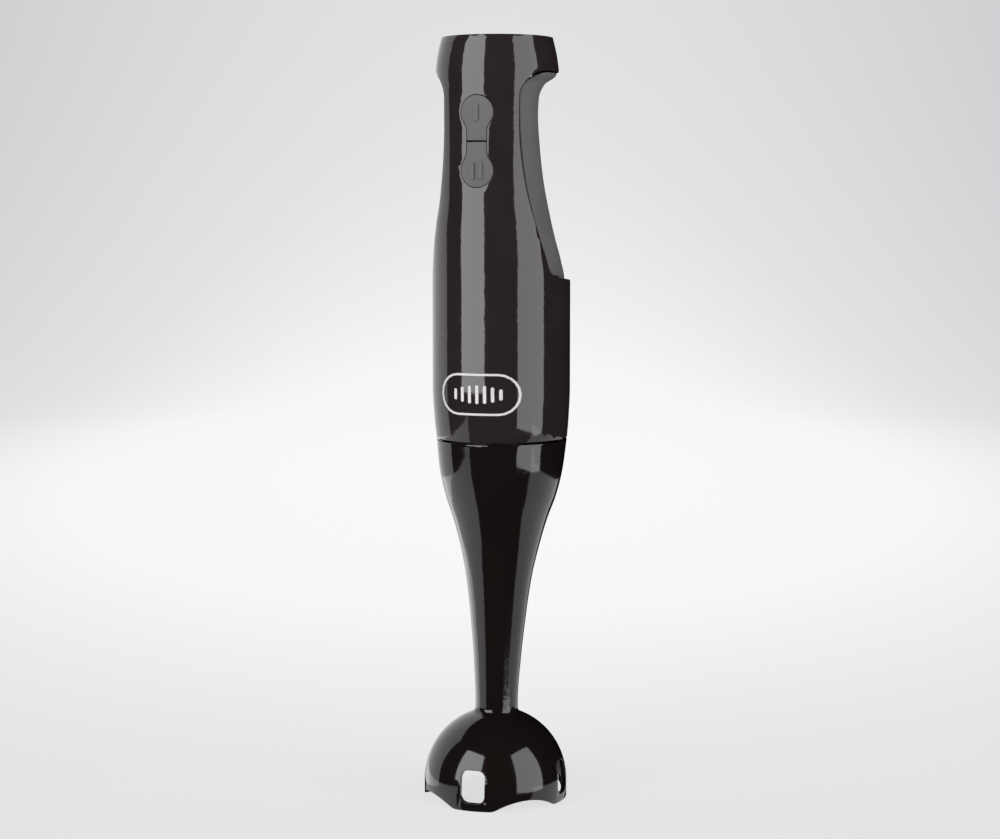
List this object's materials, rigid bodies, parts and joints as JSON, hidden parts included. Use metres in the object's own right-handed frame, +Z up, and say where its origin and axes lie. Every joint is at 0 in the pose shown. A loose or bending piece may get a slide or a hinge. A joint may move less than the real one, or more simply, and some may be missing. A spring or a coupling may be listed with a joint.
{
  "type": "immersion blender",
  "caption": "Hand-held immersion blender with an upright handle, two front buttons, a recessed soft rear grip and a tapered push-on stem ending in a windowed bell over a two-wing blade.",
  "frame": {"origin": "on the drive axis at the floor that the bell's rim stands on", "axes": "+Z up the drive axis, -Y towards the buttons, +Y towards the rear grip"},
  "size_m": [0.0662, 0.0758, 0.35],
  "materials": {
    "gloss_shell": "moulded gloss, dark charcoal",
    "gloss_stem": "moulded gloss, black",
    "soft_grip": "matte soft-touch overmould, grey",
    "soft_buttons": "matte, grey",
    "rubber": "matte",
    "moulded_plastic": "matte",
    "circuit_board": "solder mask",
    "lead_insulation": "smooth",
    "electrical_steel": "laminated",
    "enamelled_copper": "enamelled",
    "copper": "turned",
    "carbon": "sintered",
    "brass": "pressed",
    "bronze_bush": "sintered",
    "steel": "plain",
    "blade_steel": "polished"
  },
  "bodies": {
    "housing": {"housing_shell": "gloss_shell", "rear_grip": "soft_grip", "top_cap": "gloss_shell", "cord_gland": "rubber", "spring_low_speed": "steel", "spring_high_speed": "steel", "button_guide": "moulded_plastic", "switch_low_speed": "moulded_plastic", "switch_high_speed": "moulded_plastic", "switch_board": "circuit_board", "suppressor_capacitor": "moulded_plastic", "motor_leads": "lead_insulation", "stator_core": "electrical_steel", "field_coils": "enamelled_copper", "lower_bracket": "moulded_plastic", "upper_bracket": "moulded_plastic", "bracket_screws": "steel", "lower_bearing": "steel", "upper_bearing": "steel", "brush_holders": "brass", "carbon_brushes": "carbon", "brush_springs": "steel", "socket_collar": "moulded_plastic", "collar_screws": "steel", "collar_seal": "rubber", "retaining_clips": "steel"},
    "low_button": {"button_low_speed": "soft_buttons", "plunger_low_speed": "moulded_plastic"},
    "high_button": {"button_high_speed": "soft_buttons", "plunger_high_speed": "moulded_plastic"},
    "rotor": {"motor_shaft": "steel", "armature_core": "electrical_steel", "armature_windings": "enamelled_copper", "commutator": "copper", "cooling_fan": "moulded_plastic", "drive_dog": "moulded_plastic"},
    "stem": {"stem_shell": "gloss_stem", "stem_insert": "moulded_plastic", "upper_bush": "bronze_bush", "lower_bush": "bronze_bush", "shaft_seal": "rubber"},
    "cutter": {"drive_shaft": "steel", "stem_coupling": "moulded_plastic", "blade": "blade_steel", "blade_sleeve": "steel", "blade_nut": "steel"}
  },
  "joints": [
    {"name": "low_press", "type": "slide", "parent": "housing", "child": "low_button", "axis": [0, 1, 0], "range_m": [0, 0.002], "stiffness_N_per_m": 400, "springref_m": -0.001, "deforming": ["spring_low_speed"]},
    {"name": "high_press", "type": "slide", "parent": "housing", "child": "high_button", "axis": [0, 1, 0], "range_m": [0, 0.002], "stiffness_N_per_m": 400, "springref_m": -0.001, "deforming": ["spring_high_speed"]},
    {"name": "motor_spin", "type": "hinge", "parent": "housing", "child": "rotor", "pos_m": [0, 0, 0.2], "axis": [0, 0, 1], "continuous": true},
    {"name": "stem_release", "type": "slide", "parent": "housing", "child": "stem", "axis": [0, 0, -1], "range_m": [0, 0.04], "deforming": ["retaining_clips"]},
    {"name": "cutter_spin", "type": "hinge", "parent": "stem", "child": "cutter", "pos_m": [0, 0, 0.1], "axis": [0, 0, 1], "continuous": true}
  ],
  "couplings": [
    {"joint": "cutter_spin", "follows": "motor_spin", "ratio": 1}
  ]
}
